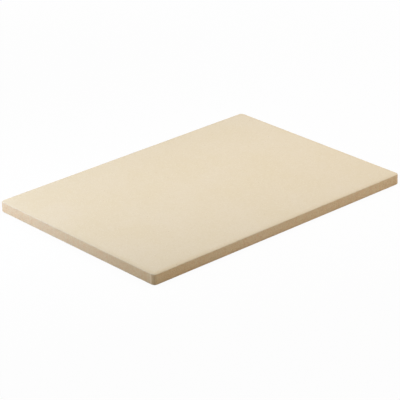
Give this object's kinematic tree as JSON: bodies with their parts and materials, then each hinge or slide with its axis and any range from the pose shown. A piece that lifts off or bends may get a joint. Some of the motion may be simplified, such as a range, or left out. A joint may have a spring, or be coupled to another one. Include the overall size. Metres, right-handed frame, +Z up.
{
  "type": "pizza stone",
  "caption": "Flat rectangular baking stone of unglazed cordierite with rounded upright corners and rounded edges, for an oven or grill.",
  "frame": {"origin": "middle of the resting face, on the surface that the stone lies on", "axes": "+X along the long sides, +Y along the short sides, +Z up out of the baking face"},
  "size_m": [0.42, 0.3, 0.015],
  "materials": {
    "cordierite": "matte"
  },
  "bodies": {
    "root": {"stone_slab": "cordierite"}
  },
  "joints": []
}
